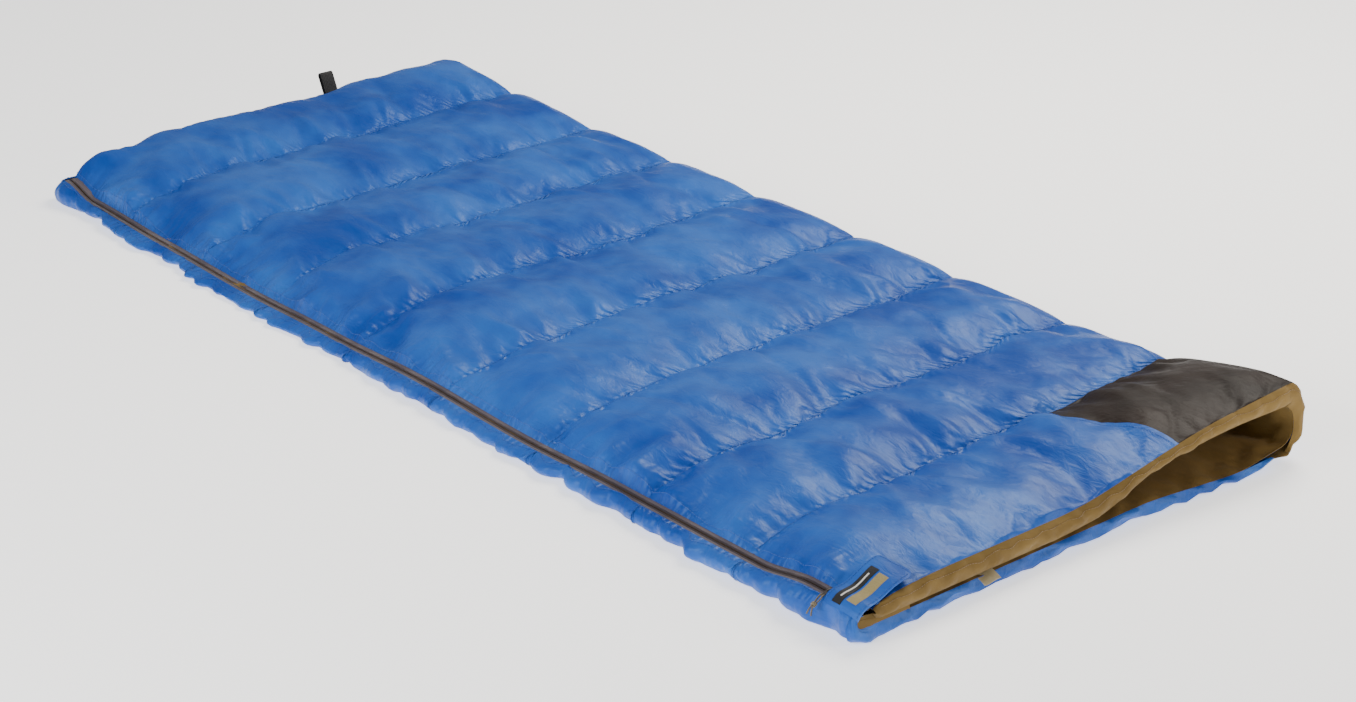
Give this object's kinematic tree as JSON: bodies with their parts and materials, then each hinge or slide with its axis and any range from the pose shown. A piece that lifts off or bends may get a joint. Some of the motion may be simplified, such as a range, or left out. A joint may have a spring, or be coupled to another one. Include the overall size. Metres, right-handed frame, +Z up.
{
  "type": "camp quilt",
  "caption": "Rectangular quilted blanket sleeping bag, folded lengthwise, zipped along one side and the foot, with a closure tab and a hanging loop.",
  "frame": {"origin": "middle of the underside, on the ground", "axes": "+X from the foot towards the open mouth, -Y the zip side, +Y the fold side, +Z up"},
  "size_m": [1.8266, 0.7613, 0.106],
  "materials": {
    "shell_polyester": "satin",
    "panel_polyester": "matte",
    "lining_polyester": "matte",
    "hollow_fibre": "matte",
    "zip_tape": "matte",
    "zip_coil": "satin",
    "zip_metal": "satin",
    "pull_cord": "matte",
    "tab_polyester": "satin",
    "hook_and_loop": "matte",
    "woven_label": "matte",
    "webbing": "matte",
    "care_label": "matte"
  },
  "bodies": {
    "lower_quilt": {"lower_shell": "shell_polyester", "lower_filling": "hollow_fibre", "lower_lining": "lining_polyester", "lower_zip_tape": "zip_tape", "lower_zip_coil": "zip_coil", "lower_top_stop": "zip_metal", "pin_box": "zip_metal"},
    "upper_quilt": {"upper_shell": "shell_polyester", "accent_panel": "panel_polyester", "upper_filling": "hollow_fibre", "upper_lining": "lining_polyester", "upper_mouth_facing": "lining_polyester", "upper_zip_tape": "zip_tape", "upper_zip_coil": "zip_coil", "upper_top_stop": "zip_metal", "insertion_pin": "zip_metal", "loop_patch": "hook_and_loop", "care_label": "care_label"},
    "zip_slider": {"zip_slider": "zip_metal"},
    "zip_pull": {"zip_puller": "zip_metal", "pull_cord": "pull_cord", "pull_knot": "pull_cord", "cord_tail_a": "pull_cord", "cord_tail_b": "pull_cord"},
    "closure_tab": {"closure_tab": "tab_polyester", "hook_patch": "hook_and_loop", "woven_label": "woven_label"},
    "hanging_loop": {"hanging_loop": "webbing"}
  },
  "joints": [
    {"name": "quilt_fold", "type": "hinge", "parent": "lower_quilt", "child": "upper_quilt", "pos_m": [0, 0.3745, 0.044], "axis": [-1, 0, 0], "range_deg": [0, 182]},
    {"name": "zip_slide", "type": "slide", "parent": "lower_quilt", "child": "zip_slider", "axis": [-1, 0, 0], "range_m": [0, 1.69]},
    {"name": "pull_swing", "type": "hinge", "parent": "zip_slider", "child": "zip_pull", "pos_m": [0.838, -0.35178, 0.04139], "axis": [-1, 0, 0], "range_deg": [0, 140]},
    {"name": "tab_lift", "type": "hinge", "parent": "lower_quilt", "child": "closure_tab", "pos_m": [0.87, -0.3665, 0.0335], "axis": [1, 0, 0], "range_deg": [0, 165]},
    {"name": "loop_swing", "type": "hinge", "parent": "lower_quilt", "child": "hanging_loop", "pos_m": [-0.892, 0.145, 0.0345], "axis": [0, 1, 0], "range_deg": [-90, 40]}
  ],
  "couplings": [
    {"joint": "zip_slide", "follows": "quilt_fold", "m_per_rad": 0.532}
  ]
}
